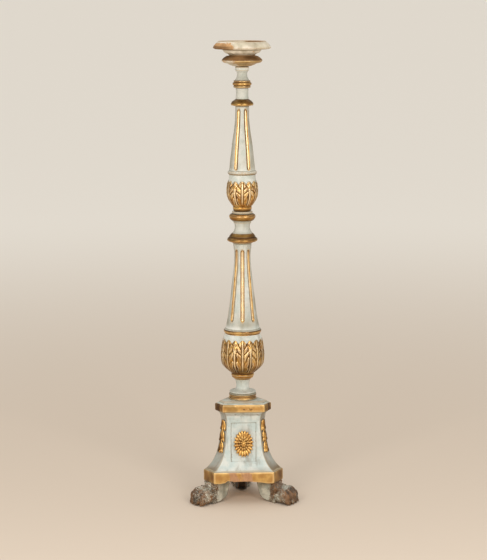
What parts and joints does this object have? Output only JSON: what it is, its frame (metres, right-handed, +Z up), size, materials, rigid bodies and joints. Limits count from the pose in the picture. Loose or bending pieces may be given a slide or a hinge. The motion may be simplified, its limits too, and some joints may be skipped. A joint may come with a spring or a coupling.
{
  "type": "pricket candlestick",
  "caption": "Tall carved, painted and gilt wooden candlestick with a dished drip pan, a turned and fluted shaft and a three-sided pedestal on lion-paw feet.",
  "frame": {"origin": "middle of the footprint on the floor, under the feet", "axes": "+Z up along the shaft, -Y towards the front face of the three-sided base, +X to the right as seen from the front"},
  "size_m": [0.2908, 0.2544, 1.201],
  "materials": {
    "painted_wood": "aged chalky grey-white paint over wood, rubbed and soiled, with gilt mouldings",
    "gilt_wood": "worn burnished gilding over brown bole and wood",
    "worn_wood": "rubbed cream paint with bare brown wood showing",
    "dark_wood": "dark brown stained wood with remains of grey paint"
  },
  "bodies": {
    "root": {"drip_pan": "worn_wood", "saucer": "worn_wood", "upper_shaft": "painted_wood", "lower_shaft": "painted_wood", "cap_slab": "painted_wood", "pedestal": "painted_wood", "foot_slab": "gilt_wood", "rosette_front": "gilt_wood", "rosette_right": "gilt_wood", "rosette_left": "gilt_wood", "husk_drop_right": "gilt_wood", "husk_drop_back": "gilt_wood", "husk_drop_left": "gilt_wood", "paw_foot_right": "dark_wood", "paw_foot_back": "dark_wood", "paw_foot_left": "dark_wood"}
  },
  "joints": []
}
